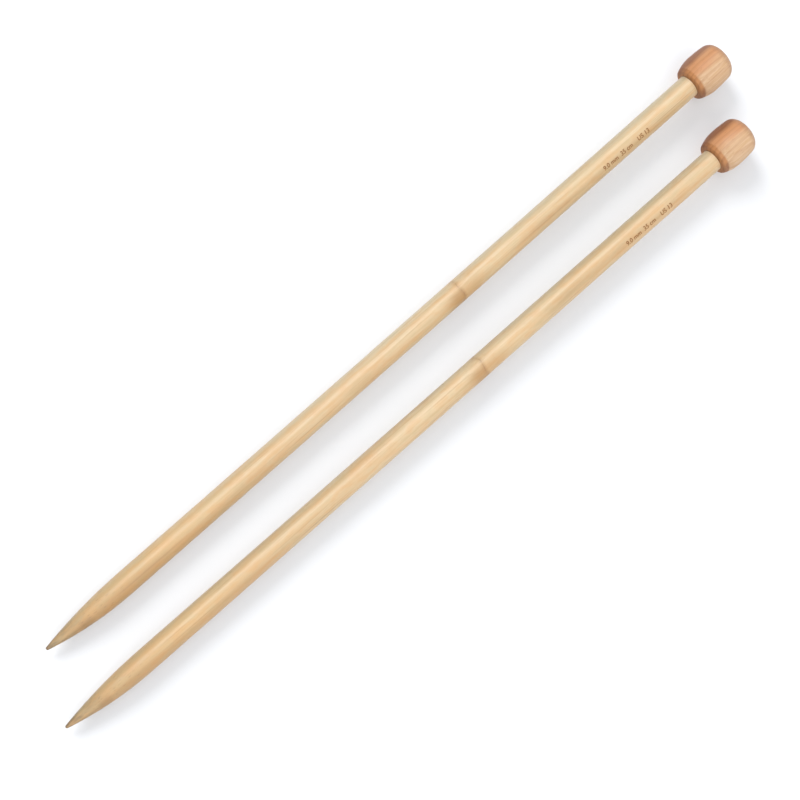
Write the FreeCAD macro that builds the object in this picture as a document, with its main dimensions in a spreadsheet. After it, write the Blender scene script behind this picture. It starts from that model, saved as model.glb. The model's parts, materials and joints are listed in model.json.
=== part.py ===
import FreeCAD, Part
import math
import os

import Sketcher

# A pair of straight, single-pointed knitting needles lying side by side on a table.
#
# Each needle is a bamboo shaft, a turned wooden cap and the glue film that joins them. The shaft ends in a
# turned spigot that sits in the cap's blind bore. All three are drawn in the needle's own frame: its origin
# is the end of the point, +X runs along the axis to the cap, and every outline is half a section, revolved
# about X. Placement then lays the needle on the table, where it touches at two spots only, under its cap
# and where the point's taper starts, so it leans by a fraction of a degree.
#
# The pair's frame: +X from the points to the caps, +Z up, origin at the middle of the footprint. The two
# needles open a little towards the caps, half of it on each side of X.

# alias, millimetres (degrees for an angle), meaning
DRIVING_SIZES = [
    ("needle_length", 350.0, "end of the point to the far end of the cap"),
    ("shaft_diameter", 9.0, "needle size: metric 9.0 mm, US 13"),
    ("point_radius", 0.65, "blunt end of the point"),
    ("taper_length", 37.0, "end of the point to the full diameter"),
    ("cap_length", 18.5, "tip-facing side to the crown of the far end"),
    ("cap_diameter", 16.5, "largest diameter of the barrel"),
    ("cap_belly", 7.5, "tip-facing side to the largest diameter"),
    ("front_curve", 18.0, "lengthwise radius of the barrel ahead of the belly"),
    ("rear_curve", 65.0, "lengthwise radius of the barrel behind the belly"),
    ("crown_curve", 20.0, "radius of the domed far end"),
    ("front_rounding", 1.0, "rounded edge of the tip-facing side"),
    ("rear_rounding", 3.8, "rounded edge of the far end"),
    ("spigot_diameter", 7.0, "turned end of the shaft"),
    ("spigot_length", 13.2, "shoulder of the shaft to the end of the spigot"),
    ("spigot_chamfer", 0.5, "edge of the spigot's end"),
    ("bore_diameter", 7.2, "blind bore of the cap"),
    ("bore_depth", 14.0, "tip-facing side to the bottom of the bore"),
    ("bore_chamfer", 0.5, "edge of the bore's mouth"),
    ("seam", 0.05, "glue between the shaft's shoulder and the cap"),
    ("bead", 0.25, "glue squeezed out round the shaft, in front of the cap"),
    ("spacing", 26.6, "between the middles of the two needles, along Y"),
    ("stagger", 13.3, "between the middles of the two needles, along X"),
    ("splay", 0.33, "degrees between the two axes, seen from above"),
]

needles = {"needle_a": +1, "needle_b": -1}  # name: +1 lies towards +Y and +X, -1 towards -Y and -X

doc = FreeCAD.newDocument("KnittingNeedles")


def vector(x, y, z=0.0):
    return FreeCAD.Vector(x, y, z)


# ---------------------------------------------------------------- sizes

sizes = {alias: value for alias, value, meaning in DRIVING_SIZES}
sheet = doc.addObject("Spreadsheet::Sheet", "Sizes")
for row, (alias, value, meaning) in enumerate(DRIVING_SIZES, 1):
    sheet.set(f"A{row}", meaning)
    sheet.set(f"B{row}", repr(value))
    sheet.setAlias(f"B{row}", alias)
doc.recompute()

shaft_radius = sizes["shaft_diameter"] / 2
cap_radius = sizes["cap_diameter"] / 2
spigot_radius = sizes["spigot_diameter"] / 2
bore_radius = sizes["bore_diameter"] / 2
point_radius = sizes["point_radius"]
cap_face = sizes["needle_length"] - sizes["cap_length"]
shoulder = cap_face - sizes["seam"]
spigot_end = shoulder + sizes["spigot_length"]
bore_bottom = cap_face + sizes["bore_depth"]
belly = cap_face + sizes["cap_belly"]

# The point is an ogive: an arc that leaves the cylinder without a corner and runs into the blunt end.
point_run = sizes["taper_length"] - point_radius
ogive_curve = (point_run**2 + shaft_radius**2 - point_radius**2) / (2 * (shaft_radius - point_radius))
ogive_centre = vector(sizes["taper_length"], shaft_radius - ogive_curve)
blunt_centre = vector(point_radius, 0)

# The cap's barrel is two arcs that meet at its belly without a corner.
front_centre = vector(belly, cap_radius - sizes["front_curve"])
rear_centre = vector(belly, cap_radius - sizes["rear_curve"])


def circle_crossing(centre_a, radius_a, centre_b, radius_b):
    """The upper of the two points where two circles cross."""
    between = centre_b - centre_a
    distance = between.Length
    reach = (distance**2 + radius_a**2 - radius_b**2) / (2 * distance)
    rise = math.sqrt(radius_a**2 - reach**2)
    across = vector(-between.y, between.x).normalize()
    foot = centre_a + between * (reach / distance)
    return max(foot + across * rise, foot - across * rise, key=lambda point: point.y)


# ---------------------------------------------------------------- sketching

# How a sketch numbers the points of a line or an arc, its own origin and its x axis.
START, END, CENTRE = 1, 2, 3
ORIGIN = (-1, START)
LONG_AXIS = -1


def new_body(name):
    body = doc.addObject("PartDesign::Body", name)
    body.Label = name
    return body


def new_sketch(body, name):
    """A sketch on the body's own XY plane: x along the needle, y the radius."""
    sketch = body.newObject("Sketcher::SketchObject", name)
    plane = next(feature for feature in body.Origin.OriginFeatures if feature.Role == "XY_Plane")
    sketch.AttachmentSupport = (plane, [""])
    sketch.MapMode = "FlatFace"
    return sketch


def add_line(sketch, start, end):
    return sketch.addGeometry(Part.LineSegment(start, end), False)


def add_arc(sketch, centre, start, end):
    """An arc that runs clockwise from start to end, as the upper side of an outline does.

    A sketch counts arcs the other way round, so its END is this start and its START this end.
    """
    circle = Part.Circle(centre, vector(0, 0, 1), (start - centre).Length)
    first = math.atan2(end.y - centre.y, end.x - centre.x)
    last = math.atan2(start.y - centre.y, start.x - centre.x)
    return sketch.addGeometry(Part.ArcOfCircle(circle, first, last), False)


def add_polyline(sketch, points):
    """Lines through the points, joined end to end. Returns their numbers."""
    lines = [add_line(sketch, start, end) for start, end in zip(points, points[1:])]
    for line, following in zip(lines, lines[1:]):
        join(sketch, (line, END), (following, START))
    return lines


def join(sketch, first, second):
    sketch.addConstraint(Sketcher.Constraint("Coincident", *first, *second))


def join_tangent(sketch, first, second):
    sketch.addConstraint(Sketcher.Constraint("Tangent", *first, *second))


def put_on_axis(sketch, point):
    sketch.addConstraint(Sketcher.Constraint("PointOnObject", *point, LONG_AXIS))


def level(sketch, *lines):
    for line in lines:
        sketch.addConstraint(Sketcher.Constraint("Horizontal", line))


def upright(sketch, *lines):
    for line in lines:
        sketch.addConstraint(Sketcher.Constraint("Vertical", line))


def bind(sketch, constraint, name, expression):
    """Adds a size to the sketch and ties it to the sheet."""
    number = sketch.addConstraint(constraint)
    sketch.renameConstraint(number, name)
    sketch.setExpression("Constraints." + name, expression)


def bind_along(sketch, point, name, expression, value):
    bind(sketch, Sketcher.Constraint("DistanceX", *ORIGIN, *point, value), name, expression)


def bind_radius_of_point(sketch, point, name, expression, value):
    bind(sketch, Sketcher.Constraint("DistanceY", *ORIGIN, *point, value), name, expression)


def bind_curve(sketch, arc, name, expression, value):
    bind(sketch, Sketcher.Constraint("Radius", arc, value), name, expression)


def revolve(body, sketch, name):
    """Turns the outline about the needle's axis."""
    doc.recompute()
    turned = body.newObject("PartDesign::Revolution", name)
    turned.Profile = sketch
    turned.ReferenceAxis = (sketch, ["H_Axis"])
    turned.Angle = 360
    sketch.Visibility = False
    doc.recompute()
    return turned


def circle_edge(feature, corner):
    """The name of the circular edge that a corner of the outline has made."""
    misses = {}
    for number, edge in enumerate(feature.Shape.Edges, 1):
        if edge.Closed and not edge.Degenerated:
            radius = edge.Length / (2 * math.pi)
            misses[f"Edge{number}"] = math.hypot(edge.CenterOfMass.x - corner.x, radius - corner.y)
    return min(misses, key=misses.get)


def dress_edge(body, feature, corner, size_alias, kind, size_property):
    dressed = body.newObject(kind, f"{body.Name}_{size_alias}")
    dressed.Base = (feature, [circle_edge(feature, corner)])
    dressed.setExpression(size_property, "Sizes." + size_alias)
    doc.recompute()
    return dressed


def round_edge(body, feature, corner, size_alias):
    return dress_edge(body, feature, corner, size_alias, "PartDesign::Fillet", "Radius")


def chamfer_edge(body, feature, corner, size_alias):
    return dress_edge(body, feature, corner, size_alias, "PartDesign::Chamfer", "Size")


# ---------------------------------------------------------------- the three pieces of a needle

CAP_FACE = "Sizes.needle_length - Sizes.cap_length"
SHOULDER = CAP_FACE + " - Sizes.seam"


def make_shaft(needle):
    """Bamboo rod: blunt ogive point, plain cylinder, shoulder and spigot."""
    body = new_body(needle + "_shaft")
    sketch = new_sketch(body, body.Name + "_outline")
    toward_blunt = (blunt_centre - ogive_centre).normalize()
    blunt_top = blunt_centre + toward_blunt * point_radius
    taper_end = vector(sizes["taper_length"], shaft_radius)
    point_end = vector(0, 0)
    corners = [
        taper_end,
        vector(shoulder, shaft_radius),
        vector(shoulder, spigot_radius),
        vector(spigot_end, spigot_radius),
        vector(spigot_end, 0),
        point_end,
    ]

    blunt = add_arc(sketch, blunt_centre, point_end, blunt_top)
    ogive = add_arc(sketch, ogive_centre, blunt_top, taper_end)
    rod, step, spigot, end_face, axis = add_polyline(sketch, corners)
    join_tangent(sketch, (ogive, END), (blunt, START))
    join_tangent(sketch, (rod, START), (ogive, START))
    join(sketch, (axis, END), (blunt, END))
    join(sketch, (axis, END), ORIGIN)
    put_on_axis(sketch, (blunt, CENTRE))
    level(sketch, rod, spigot, axis)
    upright(sketch, step, end_face)

    bind_curve(sketch, blunt, "point_radius", "Sizes.point_radius", point_radius)
    bind_along(sketch, (rod, START), "taper_length", "Sizes.taper_length", taper_end.x)
    bind_radius_of_point(sketch, (rod, START), "shaft_radius", "Sizes.shaft_diameter / 2", shaft_radius)
    bind_along(sketch, (step, START), "shoulder", SHOULDER, shoulder)
    bind_radius_of_point(sketch, (spigot, START), "spigot_radius", "Sizes.spigot_diameter / 2", spigot_radius)
    bind_along(sketch, (spigot, END), "spigot_end", SHOULDER + " + Sizes.spigot_length", spigot_end)

    turned = revolve(body, sketch, body.Name + "_turned")
    chamfer_edge(body, turned, vector(spigot_end, spigot_radius), "spigot_chamfer")
    return body


def make_cap(needle):
    """Turned wooden knob: barrel with its belly nearer the shaft, domed far end, blind bore."""
    body = new_body(needle + "_cap")
    sketch = new_sketch(body, body.Name + "_outline")
    far_end = sizes["needle_length"]
    crown_centre = vector(far_end - sizes["crown_curve"], 0)
    front_rise = math.sqrt(sizes["front_curve"] ** 2 - sizes["cap_belly"] ** 2)
    front_corner = vector(cap_face, front_centre.y + front_rise)
    belly_top = vector(belly, cap_radius)
    rear_corner = circle_crossing(rear_centre, sizes["rear_curve"], crown_centre, sizes["crown_curve"])
    crown_top = vector(far_end, 0)
    corners = [
        crown_top,
        vector(bore_bottom, 0),
        vector(bore_bottom, bore_radius),
        vector(cap_face, bore_radius),
        front_corner,
    ]

    front = add_arc(sketch, front_centre, front_corner, belly_top)
    rear = add_arc(sketch, rear_centre, belly_top, rear_corner)
    crown = add_arc(sketch, crown_centre, rear_corner, crown_top)
    core, bottom, wall, face = add_polyline(sketch, corners)
    join_tangent(sketch, (rear, END), (front, START))
    join(sketch, (rear, START), (crown, END))
    join(sketch, (crown, START), (core, START))
    join(sketch, (face, END), (front, END))
    put_on_axis(sketch, (core, START))
    put_on_axis(sketch, (core, END))
    put_on_axis(sketch, (crown, CENTRE))
    level(sketch, wall)
    upright(sketch, bottom, face)

    bind_along(sketch, (face, START), "cap_face", CAP_FACE, cap_face)
    bind_along(sketch, (crown, START), "needle_length", "Sizes.needle_length", far_end)
    bind_along(sketch, (front, START), "belly", CAP_FACE + " + Sizes.cap_belly", belly)
    bind_along(sketch, (front, CENTRE), "belly_centre", CAP_FACE + " + Sizes.cap_belly", belly)
    bind_radius_of_point(sketch, (front, START), "cap_radius", "Sizes.cap_diameter / 2", cap_radius)
    bind_curve(sketch, front, "front_curve", "Sizes.front_curve", sizes["front_curve"])
    bind_curve(sketch, rear, "rear_curve", "Sizes.rear_curve", sizes["rear_curve"])
    bind_curve(sketch, crown, "crown_curve", "Sizes.crown_curve", sizes["crown_curve"])
    bind_radius_of_point(sketch, (wall, START), "bore_radius", "Sizes.bore_diameter / 2", bore_radius)
    bind_along(sketch, (core, END), "bore_bottom", CAP_FACE + " + Sizes.bore_depth", bore_bottom)

    turned = revolve(body, sketch, body.Name + "_turned")
    soft_rear = round_edge(body, turned, rear_corner, "rear_rounding")
    soft_front = round_edge(body, soft_rear, front_corner, "front_rounding")
    chamfer_edge(body, soft_front, vector(cap_face, bore_radius), "bore_chamfer")
    return body


def make_glue(needle):
    """Glue film: squeezed-out bead, seam at the shoulder, sleeve round the spigot, disc at the bottom."""
    body = new_body(needle + "_glue")
    sketch = new_sketch(body, body.Name + "_outline")
    chamfer = sizes["bore_chamfer"]
    spigot_edge = spigot_radius - sizes["spigot_chamfer"]
    bevel_end = spigot_end - sizes["spigot_chamfer"]
    bead = sizes["bead"]
    corners = [
        vector(shoulder - bead, shaft_radius),
        vector(cap_face, shaft_radius + bead),
        vector(cap_face, bore_radius + chamfer),
        vector(cap_face + chamfer, bore_radius),
        vector(bore_bottom, bore_radius),
        vector(bore_bottom, 0),
        vector(spigot_end, 0),
        vector(spigot_end, spigot_edge),
        vector(bevel_end, spigot_radius),
        vector(shoulder, spigot_radius),
        vector(shoulder, shaft_radius),
        vector(shoulder - bead, shaft_radius),
    ]

    lines = add_polyline(sketch, corners)
    slope, face, mouth, wall, bottom, core, spigot_face, bevel, sleeve, step, rod = lines
    join(sketch, (rod, END), (slope, START))
    put_on_axis(sketch, (core, START))
    level(sketch, wall, core, sleeve, rod)
    upright(sketch, face, bottom, spigot_face, step)

    shaft_half = "Sizes.shaft_diameter / 2"
    bore_half = "Sizes.bore_diameter / 2"
    spigot_half = "Sizes.spigot_diameter / 2"
    spigot_far = SHOULDER + " + Sizes.spigot_length"
    bind_along(sketch, (slope, START), "bead_front", SHOULDER + " - Sizes.bead", shoulder - bead)
    bind_radius_of_point(sketch, (slope, START), "shaft_radius", shaft_half, shaft_radius)
    bind_along(sketch, (slope, END), "cap_face", CAP_FACE, cap_face)
    bind_radius_of_point(sketch, (slope, END), "bead_top", shaft_half + " + Sizes.bead", shaft_radius + bead)
    mouth_half = bore_half + " + Sizes.bore_chamfer"
    bind_radius_of_point(sketch, (face, END), "mouth_radius", mouth_half, bore_radius + chamfer)
    bind_along(sketch, (mouth, END), "mouth_depth", CAP_FACE + " + Sizes.bore_chamfer", cap_face + chamfer)
    bind_radius_of_point(sketch, (mouth, END), "bore_radius", bore_half, bore_radius)
    bind_along(sketch, (wall, END), "bore_bottom", CAP_FACE + " + Sizes.bore_depth", bore_bottom)
    bind_along(sketch, (core, END), "spigot_end", spigot_far, spigot_end)
    edge_half = spigot_half + " - Sizes.spigot_chamfer"
    bind_radius_of_point(sketch, (bevel, START), "spigot_edge", edge_half, spigot_edge)
    bind_along(sketch, (bevel, END), "bevel_end", spigot_far + " - Sizes.spigot_chamfer", bevel_end)
    bind_radius_of_point(sketch, (bevel, END), "spigot_radius", spigot_half, spigot_radius)
    bind_along(sketch, (sleeve, END), "shoulder", SHOULDER, shoulder)

    revolve(body, sketch, body.Name + "_turned")
    return body


# ---------------------------------------------------------------- laying the needles down


def resting_lean():
    """How far the axis rises from point to cap, in degrees, when a needle lies on the table.

    It rests on the lowest spots of two arcs of its outline, the ogive and the front of the cap's barrel.
    """
    along = front_centre.x - ogive_centre.x
    down = front_centre.y - ogive_centre.y
    reach = math.hypot(along, down)
    return math.degrees(math.acos((ogive_curve - sizes["front_curve"]) / reach) - math.atan2(along, down))


def resting_placement(side):
    """Where a needle lies in the pair's frame."""
    lean = resting_lean()
    turn = FreeCAD.Rotation(vector(0, 0, 1), side * sizes["splay"] / 2)
    rotation = turn.multiply(FreeCAD.Rotation(vector(0, 1, 0), -lean))
    point_end = vector(side * sizes["stagger"] / 2, side * sizes["spacing"] / 2)
    point_end -= rotation.multVec(vector(sizes["needle_length"] / 2, 0))
    underside_centre = rotation.multVec(vector(ogive_centre.x, 0, -ogive_centre.y))
    point_end.z = ogive_curve - underside_centre.z
    return FreeCAD.Placement(point_end, rotation)


pieces = []
for needle, side in needles.items():
    for make_piece in (make_shaft, make_cap, make_glue):
        piece = make_piece(needle)
        piece.Placement = resting_placement(side)
        pieces.append(piece)

doc.recompute()


# ---------------------------------------------------------------- checks and files

for item in doc.Objects:
    if "Invalid" in item.State or "Error" in item.State:
        raise RuntimeError(f"{item.Label} did not recompute: {item.State}")
for piece in pieces:
    if piece.Shape.isNull() or not piece.Shape.isValid() or len(piece.Shape.Solids) != 1:
        raise RuntimeError(f"{piece.Label} is not one valid solid")

os.makedirs("parts", exist_ok=True)
for piece in pieces:
    piece.Shape.exportStep(f"parts/{piece.Label}.step")
    box = piece.Shape.optimalBoundingBox()
    print(
        f"{piece.Label}: {piece.Shape.Volume:.1f} mm3,"
        f" x {box.XMin:.3f} to {box.XMax:.3f},"
        f" y {box.YMin:.3f} to {box.YMax:.3f},"
        f" z {box.ZMin:.3f} to {box.ZMax:.3f}"
    )
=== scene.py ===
import json
import math

import bpy
import numpy as np
from mathutils import Matrix, Vector
from mathutils.bvhtree import BVHTree


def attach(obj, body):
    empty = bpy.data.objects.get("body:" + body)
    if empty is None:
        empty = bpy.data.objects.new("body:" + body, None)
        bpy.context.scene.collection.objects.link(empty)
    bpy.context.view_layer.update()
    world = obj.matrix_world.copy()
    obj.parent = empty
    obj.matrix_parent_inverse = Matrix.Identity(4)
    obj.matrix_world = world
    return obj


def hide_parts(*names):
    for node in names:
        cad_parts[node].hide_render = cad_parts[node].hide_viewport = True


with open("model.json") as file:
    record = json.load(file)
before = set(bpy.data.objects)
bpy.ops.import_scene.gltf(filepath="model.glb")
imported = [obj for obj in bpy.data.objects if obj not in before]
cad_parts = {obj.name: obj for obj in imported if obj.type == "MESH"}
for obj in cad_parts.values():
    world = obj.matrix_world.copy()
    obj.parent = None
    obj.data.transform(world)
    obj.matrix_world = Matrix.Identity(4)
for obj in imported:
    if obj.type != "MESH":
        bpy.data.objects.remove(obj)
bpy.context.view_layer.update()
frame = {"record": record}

# A pair of straight bamboo knitting needles with turned wooden caps, on a white table.
#
# Each needle's meshes are made in its own frame, as it would be turned on a lathe: the origin is the end of
# the point, +X runs along the axis to the cap, +Z is the side that faces up. Sizes are millimetres in that
# frame, and a mesh is scaled to metres once, when it is made. The object's transform lays it on the table.
# Every point also keeps its place in that frame, in the mesh layer "place". The materials go by that layer,
# so they stay right when a mesh is copied and moved without its object.

MM = 0.001

# ---------------------------------------------------------------- sizes, as in the CAD model

NEEDLE_LENGTH = 350.0
SHAFT_RADIUS = 4.5
POINT_RADIUS = 0.65
TAPER_LENGTH = 37.0
CAP_LENGTH = 18.5
CAP_RADIUS = 8.25
CAP_BELLY = 7.5
FRONT_CURVE = 18.0
REAR_CURVE = 65.0
CROWN_CURVE = 20.0
FRONT_ROUNDING = 1.0
REAR_ROUNDING = 3.8
SPIGOT_RADIUS = 3.5
SPIGOT_LENGTH = 13.2
SPIGOT_CHAMFER = 0.5
BORE_RADIUS = 3.6
BORE_DEPTH = 14.0
BORE_CHAMFER = 0.5
SEAM = 0.05

CAP_FACE = NEEDLE_LENGTH - CAP_LENGTH
SHOULDER = CAP_FACE - SEAM
SPIGOT_END = SHOULDER + SPIGOT_LENGTH
BORE_BOTTOM = CAP_FACE + BORE_DEPTH

# ---------------------------------------------------------------- features of the bamboo

NODE = 205.4  # the culm's node, a ring across the grain
NODE_RIDGE = 0.035  # how far the ring stands proud
NODE_RIDGE_REACH = 1.6  # each way along the needle, to where about a third of the height is left
NODE_GROOVE = 0.03
NODE_GROOVE_REACH = 0.3
SANDING_DEPTH = 0.012  # of the waves that sanding by hand leaves

MARK_ROLL = math.radians(-31)  # the size mark sits this far round from the top, towards -Y
MARK_DEPTH = 0.05
MARK_HEIGHT = 1.95  # of the capitals
BURN_SPREAD = 0.06  # how far the burn runs past the letters' edges
SCORCH_SPREAD = 5  # rounds of softening that carry the toasting out round the letters
MARK_WORDS = {"9.0 mm  35 cm": (280.6, 296.0), "US 13": (299.2, 305.1)}  # text: where it starts and ends
MARK_MARGIN = 0.4  # finely stepped mesh before the first word and after the last

BOW = 0.45  # how far the middle of a needle lies off the straight line between its ends, towards -Y
POINT_OFFSET = 0.7  # the point was sharpened by hand and ends this far towards +Y
POINT_BEND = 34.0  # where that starts

# ---------------------------------------------------------------- how closely the meshes are stepped

PLAIN_STEP = 1.2  # millimetres along an outline, at most
HIDDEN_STEP = 1.5
POINT_STEP = 0.35
EDGE_STEP = 0.1
CAP_STEP = 0.14
FACE_STEP = 0.2
NODE_STEP = 0.25
NODE_REACH = 8.0  # the stretch each side of the node that is stepped so
MARK_STEP = 0.075
MARK_TURNS = 39  # angles across the mark
SHAFT_TURNS = 64  # angles round the rest of the shaft
CAP_TURNS = 144
GLUE_TURNS = 96
SHARP_EDGE = math.radians(35)


# ---------------------------------------------------------------- outlines


def circle_crossing(centre_a, radius_a, centre_b, radius_b):
    """The upper of the two points where two circles cross."""
    between = centre_b - centre_a
    reach = (between.length_squared + radius_a**2 - radius_b**2) / (2 * between.length)
    rise = math.sqrt(radius_a**2 - reach**2)
    foot = centre_a + between.normalized() * reach
    across = Vector((-between.y, between.x)).normalized() * rise
    return max(foot + across, foot - across, key=lambda point: point.y)


def arc(centre, start, end, step):
    """Points along the arc from start to end, both included, about a step apart."""
    radius = (start - centre).length
    first = math.atan2(start.y - centre.y, start.x - centre.x)
    last = math.atan2(end.y - centre.y, end.x - centre.x)
    count = max(2, math.ceil(abs(last - first) * radius / step) + 1)
    angles = np.linspace(first, last, count)
    return [(centre.x + radius * math.cos(a), centre.y + radius * math.sin(a)) for a in angles]


def run(start, end, step):
    """Points along a straight line, both ends included."""
    count = max(2, math.ceil((end - start).length / step) + 1)
    return [tuple(start.lerp(end, share)) for share in np.linspace(0, 1, count)]


def joined(*stretches):
    """One outline from stretches that meet end to end."""
    outline = list(stretches[0])
    for stretch in stretches[1:]:
        outline += stretch[1:]
    return outline


def shaft_outline():
    """Blunt point, ogive, rod with close steps at the mark and the node, shoulder, spigot."""
    point_run = TAPER_LENGTH - POINT_RADIUS
    curve = (point_run**2 + SHAFT_RADIUS**2 - POINT_RADIUS**2) / (2 * (SHAFT_RADIUS - POINT_RADIUS))
    ogive = Vector((TAPER_LENGTH, SHAFT_RADIUS - curve))
    blunt = Vector((POINT_RADIUS, 0))
    blunt_top = blunt + (blunt - ogive).normalized() * POINT_RADIUS
    taper_end = Vector((TAPER_LENGTH, SHAFT_RADIUS))
    mark_start = min(start for start, end in MARK_WORDS.values()) - MARK_MARGIN
    mark_end = max(end for start, end in MARK_WORDS.values()) + MARK_MARGIN
    # Where each stretch of the rod ends, and how closely it is stepped.
    stretches = [
        (NODE - NODE_REACH, PLAIN_STEP),
        (NODE + NODE_REACH, NODE_STEP),
        (mark_start, PLAIN_STEP),
        (mark_end, MARK_STEP),
        (SHOULDER, PLAIN_STEP),
    ]
    rod = []
    start = taper_end
    for end_x, step in stretches:
        end = Vector((end_x, SHAFT_RADIUS))
        rod.append(run(start, end, step))
        start = end
    corners = [
        Vector((SHOULDER, SHAFT_RADIUS)),
        Vector((SHOULDER, SPIGOT_RADIUS)),
        Vector((SPIGOT_END - SPIGOT_CHAMFER, SPIGOT_RADIUS)),
        Vector((SPIGOT_END, SPIGOT_RADIUS - SPIGOT_CHAMFER)),
        Vector((SPIGOT_END, 0)),
    ]
    return joined(
        arc(blunt, Vector((0, 0)), blunt_top, EDGE_STEP),
        arc(ogive, blunt_top, taper_end, POINT_STEP),
        *rod,
        *[run(a, b, HIDDEN_STEP) for a, b in zip(corners, corners[1:])],
    )


def cap_outline():
    """From the bore's bottom out of its mouth, over the front edge, the barrel and the crown."""
    belly = CAP_FACE + CAP_BELLY
    front = Vector((belly, CAP_RADIUS - FRONT_CURVE))
    rear = Vector((belly, CAP_RADIUS - REAR_CURVE))
    crown = Vector((NEEDLE_LENGTH - CROWN_CURVE, 0))
    front_edge_rise = math.sqrt((FRONT_CURVE - FRONT_ROUNDING) ** 2 - (CAP_BELLY - FRONT_ROUNDING) ** 2)
    front_edge = Vector((CAP_FACE + FRONT_ROUNDING, front.y + front_edge_rise))
    rear_edge = circle_crossing(rear, REAR_CURVE - REAR_ROUNDING, crown, CROWN_CURVE - REAR_ROUNDING)
    face_end = Vector((CAP_FACE, front_edge.y))
    front_start = front_edge + (front_edge - front).normalized() * FRONT_ROUNDING
    belly_top = Vector((belly, CAP_RADIUS))
    rear_end = rear_edge + (rear_edge - rear).normalized() * REAR_ROUNDING
    crown_start = rear_edge + (rear_edge - crown).normalized() * REAR_ROUNDING
    bore = [
        Vector((BORE_BOTTOM, 0)),
        Vector((BORE_BOTTOM, BORE_RADIUS)),
        Vector((CAP_FACE + BORE_CHAMFER, BORE_RADIUS)),
        Vector((CAP_FACE, BORE_RADIUS + BORE_CHAMFER)),
    ]
    return joined(
        *[run(start, end, PLAIN_STEP) for start, end in zip(bore, bore[1:])],
        run(bore[-1], face_end, FACE_STEP),
        arc(front_edge, face_end, front_start, EDGE_STEP),
        arc(front, front_start, belly_top, CAP_STEP),
        arc(rear, belly_top, rear_end, CAP_STEP),
        arc(rear_edge, rear_end, crown_start, CAP_STEP),
        arc(crown, crown_start, Vector((NEEDLE_LENGTH, 0)), FACE_STEP),
    )


def glue_outline(bead_front, bead_top):
    """Squeezed-out bead with a hollow face, seam, sleeve round the spigot, disc at the bore's bottom."""
    hollow = Vector((SHOULDER - bead_front, SHAFT_RADIUS + bead_top))
    turns = np.linspace(0, math.pi / 2, 6)
    corners = [
        Vector((CAP_FACE, SHAFT_RADIUS + bead_top)),
        Vector((CAP_FACE, BORE_RADIUS + BORE_CHAMFER)),
        Vector((CAP_FACE + BORE_CHAMFER, BORE_RADIUS)),
        Vector((BORE_BOTTOM, BORE_RADIUS)),
        Vector((BORE_BOTTOM, 0)),
    ]
    inner = [
        Vector((SPIGOT_END, 0)),
        Vector((SPIGOT_END, SPIGOT_RADIUS - SPIGOT_CHAMFER)),
        Vector((SPIGOT_END - SPIGOT_CHAMFER, SPIGOT_RADIUS)),
        Vector((SHOULDER, SPIGOT_RADIUS)),
        Vector((SHOULDER, SHAFT_RADIUS)),
        Vector((SHOULDER - bead_front, SHAFT_RADIUS)),
    ]
    meniscus = [(hollow.x + bead_front * math.sin(a), hollow.y - bead_top * math.cos(a)) for a in turns]
    return joined(
        *[run(start, end, HIDDEN_STEP) for start, end in zip(inner, inner[1:])],
        meniscus,
        *[run(start, end, HIDDEN_STEP) for start, end in zip(corners, corners[1:])],
    )


# ---------------------------------------------------------------- turning a mesh


def off_axis(x):
    """How far the wood's own axis strays from the straight one, towards +Y."""
    share = x / NEEDLE_LENGTH
    bow = -4 * BOW * share * (1 - share)
    point = POINT_OFFSET * np.clip(1 - x / POINT_BEND, 0, 1) ** 2
    return bow + point


def even_angles(count):
    return np.arange(count) * (2 * math.pi / count)


def mark_angles():
    """Angles round the shaft from the top towards +Y: close together across the mark, wider elsewhere."""
    half = MARK_HEIGHT * 0.8 / SHAFT_RADIUS  # a little more than the letters take up
    close = np.linspace(MARK_ROLL - half, MARK_ROLL + half, MARK_TURNS)
    wide = np.linspace(MARK_ROLL + half, MARK_ROLL - half + 2 * math.pi, SHAFT_TURNS + 2)[1:-1]
    return np.concatenate([close, wide])


def keep_layer(mesh, layer, kind, values):
    """Writes a value, or a vector, for every point into the mesh, for the materials to read."""
    field = "vector" if kind == "FLOAT_VECTOR" else "value"
    flat = np.asarray(values, dtype=np.float32).ravel()
    mesh.attributes.new(layer, kind, "POINT").data.foreach_set(field, flat)


def turned_mesh(name, outline, angles, swell):
    """A closed mesh: the outline, from the axis to the axis, turned about X.

    swell(x, radius, angle) gives how far each point stands out from the outline, in millimetres.
    """
    x = np.array([point[0] for point in outline[1:-1]])
    radius = np.array([point[1] for point in outline[1:-1]])
    along, angle = np.meshgrid(x, angles, indexing="ij")
    out = radius[:, None] + swell(along, radius[:, None], angle)
    rings = np.stack([along, out * np.sin(angle), out * np.cos(angle)], axis=-1).reshape(-1, 3)
    ends = np.array([[outline[0][0], 0, 0], [outline[-1][0], 0, 0]])
    points = np.concatenate([rings, ends])
    points[:, 1] += off_axis(points[:, 0])

    count, turns = len(x), len(angles)
    corner = np.arange(count * turns).reshape(count, turns)
    beside = np.roll(corner, -1, axis=1)
    quads = np.stack([corner[:-1], corner[1:], beside[1:], beside[:-1]], axis=-1).reshape(-1, 4)
    first_pole, last_pole = count * turns, count * turns + 1
    faces = quads.tolist()
    faces += [(first_pole, a, b) for a, b in zip(corner[0].tolist(), beside[0].tolist())]
    faces += [(last_pole, b, a) for a, b in zip(corner[-1].tolist(), beside[-1].tolist())]

    mesh = bpy.data.meshes.new(name)
    mesh.from_pydata((points * MM).tolist(), [], faces)
    mesh.update()
    mesh.shade_smooth()
    mesh.set_sharp_from_angle(angle=SHARP_EDGE)
    keep_layer(mesh, "place", "FLOAT_VECTOR", points)
    return mesh


# ---------------------------------------------------------------- the size mark


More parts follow.
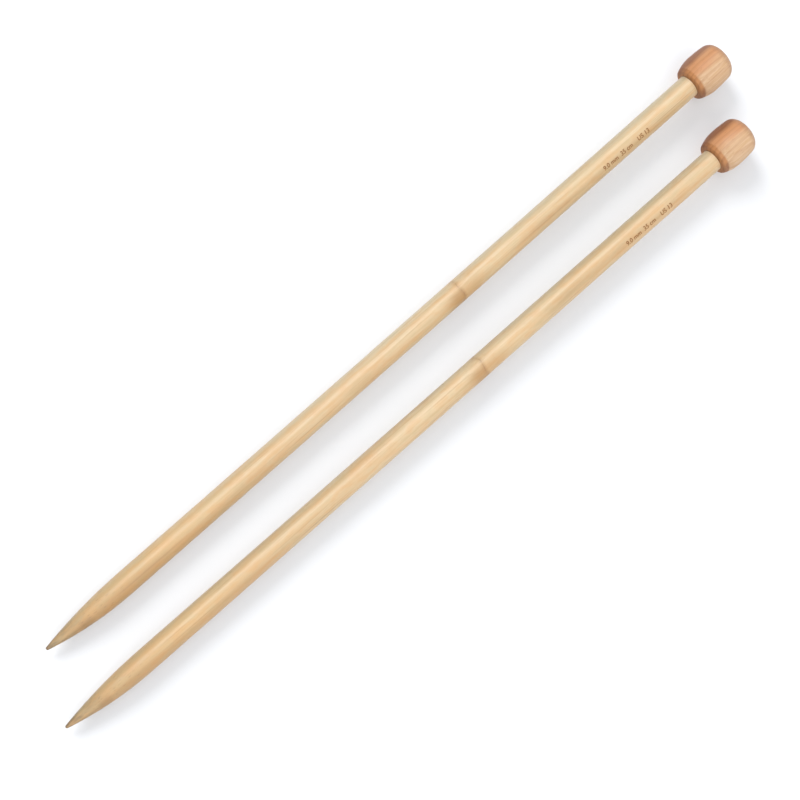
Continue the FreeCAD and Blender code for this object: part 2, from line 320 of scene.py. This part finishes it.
def word_shape(text, length, height):
    """The text as flat faces, scaled to a length and to its capitals' height, from the origin."""
    curve = bpy.data.curves.new("size_mark", "FONT")
    curve.body = text
    writing = bpy.data.objects.new("size_mark", curve)
    bpy.context.scene.collection.objects.link(writing)
    bpy.context.view_layer.update()
    flat = bpy.data.meshes.new_from_object(writing)
    corners = np.array([vertex.co[:2] for vertex in flat.vertices])
    faces = [tuple(face.vertices) for face in flat.polygons]
    bpy.data.objects.remove(writing)
    bpy.data.curves.remove(curve)
    bpy.data.meshes.remove(flat)
    low, high = corners.min(0), corners.max(0)
    capital = 0.7  # of the font's own units
    corners = (corners - [low[0], 0]) * [length / (high[0] - low[0]), height / capital]
    return BVHTree.FromPolygons([(u, v, 0) for u, v in corners], faces)


def burnt_share(tree, u, v, reach):
    """How much of the small square about (u, v) lies inside the letters."""
    inside = 0
    steps = (-reach, 0, reach)
    for du in steps:
        for dv in steps:
            hit = tree.ray_cast(Vector((u + du, v + dv, 1)), Vector((0, 0, -1)))[0]
            inside += hit is not None
    return inside / len(steps) ** 2


def spread(values, rounds):
    """The same grid of values, each softened into its neighbours as many times as there are rounds."""
    soft = values
    for _ in range(rounds):
        soft = (soft + np.roll(soft, 1, 0) + np.roll(soft, -1, 0)) / 3
        soft = (soft + np.roll(soft, 1, 1) + np.roll(soft, -1, 1)) / 3
    return soft


def burn_pattern(x, angles):
    """For every ring and angle, how deep the mark is burnt, from 0 to 1."""
    burn = np.zeros((len(x), len(angles)))
    across = (angles - MARK_ROLL) * SHAFT_RADIUS
    for text, (start, end) in MARK_WORDS.items():
        tree = word_shape(text, end - start, MARK_HEIGHT)
        rings = np.flatnonzero((x > start - 0.1) & (x < end + 0.1))
        turns = np.flatnonzero(abs(across) < MARK_HEIGHT * 0.75)
        for ring in rings:
            for turn in turns:
                u, v = x[ring] - start, across[turn] + MARK_HEIGHT / 2
                burn[ring, turn] = burnt_share(tree, u, v, BURN_SPREAD)
    return burn


# ---------------------------------------------------------------- the turned pieces


def waves(seed, count, slowest, fastest):
    """A gentle random curve of x and angle, between about -1 and 1, as a sum of a few waves."""
    random = np.random.default_rng(seed)
    lengths = np.geomspace(slowest, fastest, count)
    phases = random.uniform(0, 2 * math.pi, (count, 2))
    turns = random.integers(0, 3, count)

    def curve(x, angle):
        total = 0
        for length, (phase, roll), turn in zip(lengths, phases, turns):
            total = total + np.sin(2 * math.pi * x / length + phase) * np.cos(turn * angle + roll)
        return total / math.sqrt(count)

    return curve


def make_shaft(name, seed):
    """The rod with its point, node, sunken mark and spigot."""
    outline = shaft_outline()
    angles = mark_angles()
    stations = np.array([point[0] for point in outline[1:-1]])
    burn = burn_pattern(stations, angles)
    hand_sanding = waves(seed, 6, 140, 9)

    def swell(x, radius, angle):
        on_rod = np.clip((radius - SPIGOT_RADIUS) / (SHAFT_RADIUS - SPIGOT_RADIUS), 0, 1) * (x < SHOULDER)
        from_node = x - NODE - 0.35 * np.sin(2 * angle + seed) - 0.15 * np.sin(5 * angle)
        ridge = NODE_RIDGE * np.exp(-((from_node / NODE_RIDGE_REACH) ** 2))
        groove = NODE_GROOVE * np.exp(-((from_node / NODE_GROOVE_REACH) ** 2))
        return on_rod * (SANDING_DEPTH * hand_sanding(x, angle) + ridge - groove - MARK_DEPTH * burn)

    mesh = turned_mesh(name, outline, angles, swell)
    for layer, values in {"burn": burn, "scorch": spread(burn, SCORCH_SPREAD)}.items():
        keep_layer(mesh, layer, "FLOAT", np.append(values.ravel(), [0, 0]))  # and 0 at both ends
    return mesh


def make_cap(name, seed):
    """The knob, very slightly out of round outside its bore."""
    out_of_round = waves(seed, 4, 40, 8)
    most = 0.015

    def swell(x, radius, angle):
        outside = np.clip(radius - BORE_RADIUS - BORE_CHAMFER, 0, 1)
        return outside * most * out_of_round(x, angle)

    return turned_mesh(name, cap_outline(), even_angles(CAP_TURNS), swell)


def make_glue(name, seed):
    """The glue between shaft and cap, with a lumpy bead in front of the cap."""
    bead_front, bead_top, lump = 0.22, 0.2, 0.02
    thickness = waves(seed, 5, 400, 200)

    def swell(x, radius, angle):
        on_bead = np.clip((radius - SHAFT_RADIUS) / bead_top, 0, 1)
        lumps = np.sin(3 * angle + seed) + np.sin(7 * angle + 2 * seed) + thickness(x, 2 * angle)
        return on_bead * lump * lumps

    return turned_mesh(name, glue_outline(bead_front, bead_top), even_angles(GLUE_TURNS), swell)


# ---------------------------------------------------------------- materials


def srgb(red, green, blue):
    """A colour given as 0 to 255 on a screen, as the linear numbers a shader takes."""
    shares = [value / 255 for value in (red, green, blue)]
    return tuple(c / 12.92 if c <= 0.04045 else ((c + 0.055) / 1.055) ** 2.4 for c in shares) + (1.0,)


def grey(value):
    return (value, value, value, 1)


class Finish:
    """A material's node tree, written as calls that each give the socket to use next."""

    def __init__(self, name):
        self.material = bpy.data.materials.new(name)
        self.material.use_nodes = True
        self.nodes = self.material.node_tree.nodes
        self.links = self.material.node_tree.links
        self.shader = next(node for node in self.nodes if node.type == "BSDF_PRINCIPLED")
        self.place = self.attribute("place", "Vector")
        self.x, self.y, self.z = self.split(self.place)

    def feed(self, socket, value):
        if isinstance(value, bpy.types.NodeSocket):
            self.links.new(value, socket)
        else:
            socket.default_value = value

    def calc(self, operation, *values):
        node = self.nodes.new("ShaderNodeMath")
        node.operation = operation
        for socket, value in zip(node.inputs, values):
            self.feed(socket, value)
        return node.outputs[0]

    def add(self, *values):
        total = values[0]
        for value in values[1:]:
            total = self.calc("ADD", total, value)
        return total

    def times(self, *values):
        product = values[0]
        for value in values[1:]:
            product = self.calc("MULTIPLY", product, value)
        return product

    def split(self, vector):
        node = self.nodes.new("ShaderNodeSeparateXYZ")
        self.feed(node.inputs[0], vector)
        return node.outputs

    def scaled(self, vector, factors):
        node = self.nodes.new("ShaderNodeMapping")
        self.feed(node.inputs["Vector"], vector)
        node.inputs["Scale"].default_value = factors
        return node.outputs[0]

    def summed(self, vector_a, vector_b):
        node = self.nodes.new("ShaderNodeVectorMath")
        node.operation = "ADD"
        self.feed(node.inputs[0], vector_a)
        self.feed(node.inputs[1], vector_b)
        return node.outputs[0]

    def ease(self, value, start, end):
        """0 at start, 1 at end, with a soft S between them, whichever is larger."""
        node = self.nodes.new("ShaderNodeMapRange")
        node.interpolation_type = "SMOOTHSTEP"
        self.feed(node.inputs["Value"], value)
        node.inputs["From Min"].default_value = start
        node.inputs["From Max"].default_value = end
        return node.outputs[0]

    def band(self, value, centre, half_width, soft):
        """1 within half_width of the centre, 0 past that and the soft edge."""
        away = self.calc("ABSOLUTE", self.calc("SUBTRACT", value, centre))
        return self.ease(away, half_width + soft, half_width)

    def noise(self, vector, size, detail=2.0, roughness=0.5, output="Fac"):
        """Noise whose lumps are size long along x, y and z, in millimetres."""
        node = self.nodes.new("ShaderNodeTexNoise")
        self.feed(node.inputs["Vector"], self.scaled(vector, [1 / length for length in size]))
        node.inputs["Scale"].default_value = 1.0
        node.inputs["Detail"].default_value = detail
        node.inputs["Roughness"].default_value = roughness
        return node.outputs[output]

    def cells(self, vector, size):
        """Distance to the nearest of scattered centres, and each cell's own random grey."""
        node = self.nodes.new("ShaderNodeTexVoronoi")
        self.feed(node.inputs["Vector"], self.scaled(vector, [1 / length for length in size]))
        node.inputs["Scale"].default_value = 1.0
        chance = self.split(node.outputs["Color"])[0]
        return node.outputs["Distance"], chance

    def ramp(self, value, stops):
        node = self.nodes.new("ShaderNodeValToRGB")
        self.feed(node.inputs[0], value)
        elements = node.color_ramp.elements
        while len(elements) < len(stops):
            elements.new(0.5)
        for element, (position, colour) in zip(elements, stops):
            element.position = position
            element.color = colour
        return node.outputs[0]

    def mix(self, share, colour_a, colour_b, blend="MIX"):
        node = self.nodes.new("ShaderNodeMix")
        node.data_type = "RGBA"
        node.blend_type = blend
        self.feed(node.inputs["Factor"], share)
        self.feed(node.inputs[6], colour_a)
        self.feed(node.inputs[7], colour_b)
        return node.outputs[2]

    def attribute(self, name, output="Fac"):
        node = self.nodes.new("ShaderNodeAttribute")
        node.attribute_name = name
        return node.outputs[output]

    def bump(self, height, depth):
        """Surface relief: height from 0 to 1 stands for a depth in millimetres."""
        node = self.nodes.new("ShaderNodeBump")
        node.inputs["Strength"].default_value = 1.0
        node.inputs["Distance"].default_value = depth * MM
        self.feed(node.inputs["Height"], height)
        self.links.new(node.outputs[0], self.shader.inputs["Normal"])

    def surface(self, **values):
        """Sets the shader's inputs, named with underscores for spaces."""
        for name, value in values.items():
            self.feed(self.shader.inputs[name.replace("_", " ")], value)
        return self.material


def wandering_fibres(f, grain):
    """The grain's coordinates, bent a little as fibres wander, and a little more at the node."""
    wander = f.scaled(f.noise(grain, (150, 12, 12), 1.0, output="Color"), (0, 0.9, 0.9))
    crossing = f.scaled(f.noise(grain, (7, 2.6, 2.6), 1.0, output="Color"), (0, 0.8, 0.8))
    swirl = f.nodes.new("ShaderNodeVectorMath")
    swirl.operation = "SCALE"
    f.feed(swirl.inputs[0], crossing)
    f.feed(swirl.inputs["Scale"], f.band(f.x, NODE, 1.0, 7.0))
    return f.summed(f.summed(grain, wander), swirl.outputs[0])


def dashes(f, fibres, length, width, lowest_chance):
    """Short dark bundles scattered along the fibres: 1 in the middle of a bundle."""
    distance, chance = f.cells(fibres, (length, width, width))
    return f.times(f.ease(distance, 0.34, 0.12), f.ease(chance, lowest_chance, 1.0))


def bamboo(name, seed):
    """Turned and waxed bamboo: vascular bundles along the rod, a node, and the burnt size mark."""
    f = Finish(name)
    grain = f.summed(f.place, (0, 17.3 * seed, -11.9 * seed))
    fibres = wandering_fibres(f, grain)
    share = f.times(f.x, 1 / NEEDLE_LENGTH)

    # The side towards -Y was nearer the culm's skin: browner and closer in the grain, more so in some
    # stretches than in others. Past the first third of the length the brown stops short of its very edge,
    # which is painted paler as light.
    edge = f.times(f.add(f.noise(grain, (50, 6, 6), 1.0), -0.5), 2.6)
    skin_side = f.ease(f.add(f.y, edge), 0.1, -2.3)
    skin_depth = f.ramp(
        share,
        [
            (0.0, grey(0.5)),
            (0.08, grey(0.85)),
            (0.24, grey(0.8)),
            (0.37, grey(0.33)),
            (0.54, grey(0.36)),
            (0.58, grey(0.55)),
            (0.65, grey(0.3)),
            (0.71, grey(1.0)),
            (0.86, grey(0.62)),
            (0.95, grey(0.22)),
        ],
    )
    # Painted light: past the first third, the very edge towards -Y is kept paler, as if lit from that side.
    band_end_and_edge_light = f.times(f.ease(f.add(f.y, f.times(edge, 0.3)), -2.7, -3.9), f.ease(share, 0.2, 0.4))
    skin = f.times(skin_side, skin_depth, f.add(1.0, f.times(band_end_and_edge_light, -0.62)))

    big = dashes(f, fibres, 64, 0.6, 0.2)
    fine = dashes(f, fibres, 26, 0.32, 0.35)
    bundles = f.calc("MAXIMUM", f.times(big, f.add(0.45, f.times(skin_side, 0.45))), f.times(fine, 0.6))
    hair = f.noise(fibres, (16, 0.11, 0.11), 3.0, 0.6)
    streaks = f.noise(fibres, (80, 1.3, 1.3), 2.0, 0.55)
    patches = f.noise(grain, (42, 9, 9), 2.0)
    mottle = f.noise(grain, (7, 2.2, 2.2), 2.0)

    # Deep golden brown at the point, palest along the middle, a touch warmer towards the cap.
    ground = f.ramp(
        share,
        [
            (0.0, srgb(104, 92, 72)),
            (0.02, srgb(152, 130, 94)),
            (0.055, srgb(192, 158, 110)),
            (0.16, srgb(212, 179, 130)),
            (0.3, srgb(212, 185, 144)),
            (0.5, srgb(217, 192, 152)),
            (0.8, srgb(214, 188, 146)),
            (1.0, srgb(214, 188, 148)),
        ],
    )
    ground = f.mix(f.times(f.ease(streaks, 0.4, 0.7), 0.5), ground, srgb(200, 166, 118))
    ground = f.mix(f.times(f.ease(patches, 0.45, 0.75), 0.3), ground, srgb(208, 162, 112))
    ground = f.mix(f.times(f.ease(mottle, 0.42, 0.7), 0.3), ground, srgb(214, 160, 98))
    ground = f.mix(f.times(f.ease(mottle, 0.52, 0.3), 0.22), ground, srgb(186, 168, 124))
    ground = f.mix(skin, ground, (0.78, 0.71, 0.63, 1), "MULTIPLY")

    # Painted shade: the side towards +Y is darkened and greyed, more so towards the cap, standing in for
    # shade along that edge.
    shade_side = f.ease(f.add(f.y, f.times(edge, 0.25)), 1.0, 3.8)
    painted_edge_shade = f.times(shade_side, f.add(0.5, f.times(f.ease(share, 0.3, 0.75), 0.35)))
    ground = f.mix(painted_edge_shade, ground, (0.84, 0.965, 1.12, 1), "MULTIPLY")
    ground = f.mix(f.times(bundles, 0.5), ground, srgb(152, 110, 68))
    ground = f.mix(f.times(f.ease(hair, 0.45, 0.8), 0.3), ground, srgb(170, 132, 88))

    # Where the point is cut across the fibres, their ends show as short dark specks, and one place on its
    # -Y side is browner.
    cut = f.ease(f.x, TAPER_LENGTH + 6, TAPER_LENGTH - 14)
    browner = f.times(f.band(f.add(f.x, f.times(edge, 1.5)), 16.5, 1.0, 3.0), f.ease(f.y, 0.8, -1.6))
    ground = f.mix(f.times(browner, 0.3), ground, srgb(142, 102, 60))
    specks = dashes(f, grain, 3.2, 0.42, 0.3)
    ground = f.mix(f.times(specks, cut, 0.5), ground, srgb(122, 84, 50))

    # The node: a fine line in a soft ring, a browner patch low on the side towards -Y in a fainter halo,
    # and some warmth all round.
    uneven = f.add(f.x, f.times(f.noise(grain, (12, 3.4, 3.4), 2.0, 0.4), 2.8), -1.4)
    ring = f.times(f.band(uneven, NODE, 0.3, 1.3), f.add(0.45, f.times(skin_side, 0.2)))
    line = f.times(f.band(uneven, NODE, 0.05, 0.35), f.ease(f.noise(grain, (4, 1.2, 1.2)), 0.3, 0.6))
    low = f.ease(f.add(f.y, f.times(f.add(streaks, -0.5), 3.0)), 0.8, -2.6)
    patch = f.times(f.ease(uneven, NODE - 11.0, NODE - 3.0), f.ease(uneven, NODE + 1.4, NODE - 0.6), low)
    halo = f.times(f.band(uneven, NODE + 1.0, 4.0, 11.0), low)
    warmth = f.times(f.band(uneven, NODE + 2.5, 2.0, 9.0), f.add(0.45, f.times(skin_side, 0.4)))
    ground = f.mix(f.times(halo, 0.26), ground, srgb(186, 144, 94))
    ground = f.mix(f.times(warmth, 0.36), ground, srgb(190, 146, 92))
    ground = f.mix(f.times(patch, 0.5), ground, srgb(164, 118, 62))
    ground = f.mix(f.times(ring, 0.5), ground, srgb(160, 118, 72))
    ground = f.mix(f.times(line, 0.28), ground, srgb(116, 78, 44))

    # The mark is scorched: dark in the letters, toasted close about them.
    burn = f.attribute("burn")
    scorch = f.attribute("scorch")
    colour = f.mix(f.times(f.ease(scorch, 0.0, 0.5), 0.6), ground, srgb(178, 124, 52))
    colour = f.mix(f.times(f.ease(burn, 0.05, 0.5), 0.74), colour, srgb(108, 64, 20))

    rough = f.add(
        0.36,
        f.times(bundles, 0.1),
        f.times(hair, 0.08),
        f.times(mottle, 0.14),
        f.times(burn, 0.25),
    )
    relief = f.add(f.times(bundles, -0.7), f.times(hair, -0.5), f.times(specks, cut, -0.6))
    f.bump(relief, 0.016)
    return f.surface(Base_Color=colour, Roughness=rough, Coat_Weight=0.28, Coat_Roughness=0.31, IOR=1.5)


def turned_wood(name, seed):
    """Close-grained hardwood under clear satin lacquer: growth rings, flecks, fine turning marks."""
    heart_y, heart_z = -15.0, 11.0
    ring_width = 1.9
    turning_pitch = 0.34
    f = Finish(name)
    grain = f.summed(f.place, (3.1 * seed, 9.7 * seed, 6.1 * seed))
    wobble = f.noise(grain, (38, 6, 6), 2.0)

    # Growth rings run about a heart that lay outside the blank, a little aslant to the cap.
    from_heart_y = f.add(f.y, -heart_y, f.times(f.x, 0.02))
    from_heart_z = f.add(f.z, -heart_z, f.times(f.x, -0.015))
    squares = f.add(f.times(from_heart_y, from_heart_y), f.times(from_heart_z, from_heart_z))
    radius = f.add(f.calc("SQRT", squares), f.times(wobble, 1.8))
    year = f.calc("FRACT", f.times(radius, 1 / ring_width))
    late_wood = f.times(f.ease(year, 0.35, 0.93), f.ease(year, 1.0, 0.95))

    streaks = f.noise(grain, (30, 0.9, 0.9), 3.0, 0.6)
    hair = f.noise(grain, (9, 0.14, 0.14), 2.0, 0.6)
    fleck_distance, fleck_chance = f.cells(grain, (3.4, 0.42, 0.42))
    flecks = f.times(f.ease(fleck_distance, 0.3, 0.12), f.ease(fleck_chance, 0.45, 0.9))
    blush = f.noise(grain, (14, 5, 5), 2.0)

    # The blank took in a redder layer of the wood, which fills the half towards +Y.
    layer = f.add(f.y, f.times(f.add(blush, -0.5), 3.0))
    rosy = f.times(f.ease(layer, -1.2, 2.4), f.add(0.72, f.times(f.ease(blush, 0.35, 0.65), 0.28)))
    ground = f.mix(f.ease(streaks, 0.35, 0.68), srgb(210, 176, 140), srgb(198, 158, 116))
    ground = f.mix(rosy, ground, srgb(200, 140, 92))
    # Painted shade: the outermost edge towards +Y is darkened, as shade along that rim.
    painted_rim_shade = f.ease(f.add(f.y, f.times(f.add(blush, -0.5), 1.2)), 4.9, 6.7)
    ground = f.mix(f.times(painted_rim_shade, 0.9), ground, srgb(134, 82, 52))
    ground = f.mix(f.times(late_wood, 0.28), ground, srgb(168, 112, 72))
    ground = f.mix(f.times(flecks, 0.35), ground, srgb(146, 94, 58))
    ground = f.mix(f.times(f.ease(hair, 0.5, 0.8), 0.2), ground, srgb(160, 108, 70))

    # End grain drinks the lacquer and goes darker: a narrow band at the front edge, and the crown's rim. Both
    # are also
    # painted darker as shade: the front band towards its sides, beside the shaft, and the crown's rim, turned
    # from the light.
    uneven = f.add(f.x, f.times(f.add(streaks, -0.5), 1.0))
    front = f.ease(uneven, CAP_FACE + 2.1, CAP_FACE + 1.3)
    crown = f.ease(uneven, NEEDLE_LENGTH - 4.8, NEEDLE_LENGTH - 1.6)
    # Painted shade: the front band darkens towards its sides, as shade in the corners beside the shaft.
    corner_shade = f.ease(f.calc("ABSOLUTE", f.y), 3.4, 7.0)
    end_grain_and_shade = f.mix(corner_shade, srgb(186, 124, 70), srgb(140, 88, 54))
    end_grain_and_shade = f.mix(f.times(late_wood, 0.35), end_grain_and_shade, srgb(126, 76, 42))
    end_grain_and_shade = f.mix(f.times(f.ease(hair, 0.45, 0.75), 0.25), end_grain_and_shade, srgb(120, 72, 40))
    colour = f.mix(f.times(front, 0.88), ground, end_grain_and_shade)
    # Painted shade as well as end grain: the crown's rim is darkened to a greyish brown.
    colour = f.mix(f.times(crown, 0.6), colour, srgb(152, 112, 82))

    turning = f.calc("SINE", f.times(f.x, 2 * math.pi / turning_pitch))
    rough = f.add(0.5, f.times(flecks, 0.1), f.times(front, 0.1), f.times(hair, 0.08))
    relief = f.add(f.times(turning, 0.1), f.times(hair, -0.4), f.times(flecks, -0.5))
    f.bump(relief, 0.014)
    return f.surface(Base_Color=colour, Roughness=rough, Coat_Weight=0.08, Coat_Roughness=0.3, IOR=1.5)


def dried_glue(name, seed):
    """Clear wood glue gone amber."""
    f = Finish(name)
    cloud = f.noise(f.summed(f.place, (seed, 0, 0)), (1.2, 1.2, 1.2), 2.0)
    colour = f.mix(cloud, srgb(158, 106, 62), srgb(120, 76, 42))
    f.bump(cloud, 0.02)
    rough = f.add(0.25, f.times(cloud, 0.15))
    return f.surface(Base_Color=colour, Roughness=rough, Subsurface_Weight=0.2)


# ---------------------------------------------------------------- laying the needles down


def needle_frame(needle):
    """The needle's own frame in the pair's, read from the mount on its rod."""
    mount = next(m for m in frame["record"]["mounts"] if m["name"] == needle + "_rod")
    along = -Vector(mount["axis"]).normalized()
    side = Vector((0, 0, 1)).cross(along).normalized()
    up = along.cross(side)
    to_middle = TAPER_LENGTH * MM + mount["dims"]["length_mm"] * MM / 2
    point_end = Vector(mount["pos_m"]) - along * to_middle
    turn = Matrix((along, side, up)).transposed()
    return Matrix.Translation(point_end) @ turn.to_4x4()


def add_piece(name, mesh, material, needle, node):
    """Lays a mesh down as one piece of a needle, in place of its CAD node."""
    piece = bpy.data.objects.new(name, mesh)
    bpy.context.scene.collection.objects.link(piece)
    mesh.materials.append(material)
    piece.matrix_world = needle_frame(needle)
    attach(piece, needle)
    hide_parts(node)


for seed, needle in enumerate(("needle_a", "needle_b"), 1):
    shaft = make_shaft(needle + "_rod_mesh", seed)
    cap = make_cap(needle + "_knob_mesh", seed)
    glue = make_glue(needle + "_bead_mesh", seed)
    waxed = bamboo(needle + "_bamboo", seed)
    lacquered = turned_wood(needle + "_knob", seed)
    amber = dried_glue(needle + "_glue_line", seed)
    add_piece(needle + "_bamboo", shaft, waxed, needle, needle + "_shaft")
    add_piece(needle + "_knob", cap, lacquered, needle, needle + "_cap")
    add_piece(needle + "_glue_line", glue, amber, needle, needle + "_glue")


# ---------------------------------------------------------------- table, light and camera

COOL_WHITE = (0.985, 0.99, 1.0)


def add_table():
    """A sheet of matt white paper that goes on far past the picture."""
    reach = 6.0
    corners = [(-reach, -reach, 0), (reach, -reach, 0), (reach, reach, 0), (-reach, reach, 0)]
    mesh = bpy.data.meshes.new("table")
    mesh.from_pydata(corners, [], [(0, 1, 2, 3)])
    table = bpy.data.objects.new("table", mesh)
    bpy.context.scene.collection.objects.link(table)
    paper = bpy.data.materials.new("white_paper")
    paper.use_nodes = True
    shader = next(node for node in paper.node_tree.nodes if node.type == "BSDF_PRINCIPLED")
    shader.inputs["Base Color"].default_value = (0.594, 0.603, 0.617, 1)
    shader.inputs["Roughness"].default_value = 0.9
    shader.inputs["Specular IOR Level"].default_value = 0.2
    mesh.materials.append(paper)
    return table


def toward(side, up_angle, lean=0.0):
    """A direction up_angle degrees above the table, on the +Y or -Y side, leaning so far towards the caps."""
    rise = math.radians(up_angle)
    return (lean, side * math.cos(rise), math.sin(rise))


def add_sun(name, direction, spread, brightness, colour, casts_shadow=True):
    """A soft light far away, so that the table is lit evenly as far as it goes.

    brightness is what a white surface that faces the light would send back, with 1 for white on the screen.
    """
    lamp = bpy.data.lights.new(name, "SUN")
    lamp.angle = math.radians(spread)
    lamp.energy = brightness * math.pi
    lamp.color = colour
    lamp.use_shadow = casts_shadow
    light = bpy.data.objects.new(name, lamp)
    light.rotation_mode = "QUATERNION"
    light.rotation_quaternion = Vector(direction).to_track_quat("Z", "Y")
    bpy.context.scene.collection.objects.link(light)
    return light


def add_shadow_light(table):
    """Lights only the table, from the +Y side, so that the needles' soft shadow falls towards -Y."""
    light = add_sun("low_window", toward(+1, 36.5), 36, 1.0, COOL_WHITE)
    receivers = bpy.data.collections.new("table_only")
    receivers.objects.link(table)
    light.light_linking.receiver_collection = receivers


def add_sky(strength, horizon, colour):
    """Even dim light from all round, with a pale band along the horizon behind the table."""
    band_top, fade_top = 0.06, 0.22  # as sines of the height above the horizon
    world = bpy.data.worlds.new("soft_room")
    world.use_nodes = True
    nodes, links = world.node_tree.nodes, world.node_tree.links
    background = next(node for node in nodes if node.type == "BACKGROUND")
    direction = nodes.new("ShaderNodeTexCoord")
    height = nodes.new("ShaderNodeSeparateXYZ")
    fade = nodes.new("ShaderNodeMapRange")
    fade.interpolation_type = "SMOOTHSTEP"
    fade.inputs["From Min"].default_value = band_top
    fade.inputs["From Max"].default_value = fade_top
    fade.inputs["To Min"].default_value = horizon
    fade.inputs["To Max"].default_value = strength
    links.new(direction.outputs["Generated"], height.inputs[0])
    links.new(height.outputs["Z"], fade.inputs["Value"])
    links.new(fade.outputs[0], background.inputs["Strength"])
    background.inputs["Color"].default_value = (*colour, 1)
    bpy.context.scene.world = world


def add_camera():
    """Looks down on the table from the points' side, with the needles rising to the right."""
    target = Vector((-6.25, -3.45, 0)) * MM
    distance = 1.1635
    tilt = math.radians(16.6)
    roll = math.radians(41.46)
    back = Vector((-math.sin(tilt), 0, math.cos(tilt)))
    along = Vector((math.cos(tilt), 0, math.sin(tilt)))
    across = back.cross(along)
    right = along * math.cos(roll) - across * math.sin(roll)
    up = along * math.sin(roll) + across * math.cos(roll)
    lens = bpy.data.cameras.new("camera")
    lens.sensor_width = 36
    lens.lens = 139.85
    lens.clip_start = 0.05
    lens.clip_end = 50
    camera = bpy.data.objects.new("camera", lens)
    turn = Matrix((right, up, back)).transposed().to_4x4()
    camera.matrix_world = Matrix.Translation(target + back * distance) @ turn
    bpy.context.scene.collection.objects.link(camera)
    bpy.context.scene.camera = camera


table = add_table()
add_sky(0.4, 1.04, (0.965, 0.98, 1.0))
add_sun("ceiling", toward(-1, 82), 90, 0.37, COOL_WHITE, casts_shadow=False)
add_sun("softbox", toward(+1, 64, lean=0.28), 26, 0.42, (0.99, 0.99, 1.0), casts_shadow=False)
add_sun("reflector", toward(-1, 45), 70, 0.26, COOL_WHITE, casts_shadow=False)
add_shadow_light(table)
add_camera()
bpy.context.scene.view_settings.view_transform = "Standard"

bpy.context.view_layer.update()
